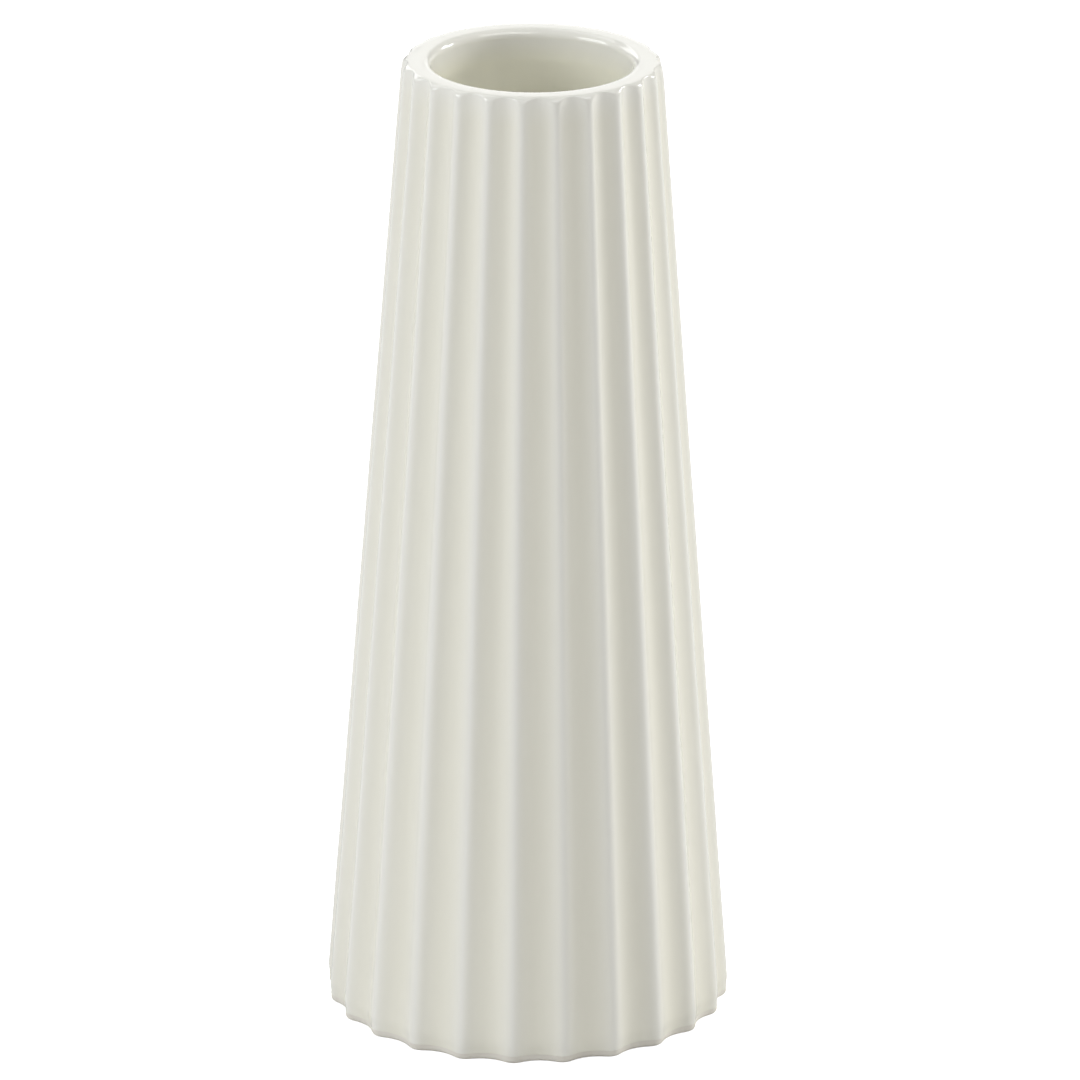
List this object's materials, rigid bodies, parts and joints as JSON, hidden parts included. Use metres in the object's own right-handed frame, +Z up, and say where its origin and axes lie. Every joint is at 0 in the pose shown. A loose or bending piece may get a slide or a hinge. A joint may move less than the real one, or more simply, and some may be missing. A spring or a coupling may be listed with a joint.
{
  "type": "bud vase",
  "caption": "Tall tapering porcelain bud vase with upright concave flutes, a rounded rim, a round mouth and a glazed hollow for a stem.",
  "frame": {"origin": "centre of the foot's standing plane", "axes": "+Z up the vase's axis from the foot to the mouth; a ridge lies on each of +X, -X, +Y and -Y"},
  "size_m": [0.0628, 0.0628, 0.152],
  "materials": {
    "bare_clay": "matte",
    "outer_glaze": "gloss",
    "lining_glaze": "gloss",
    "underside_glaze": "gloss"
  },
  "bodies": {
    "root": {"porcelain_body": "bare_clay", "outer_glaze": "outer_glaze", "inner_glaze": "lining_glaze", "underside_glaze": "underside_glaze"}
  },
  "joints": []
}
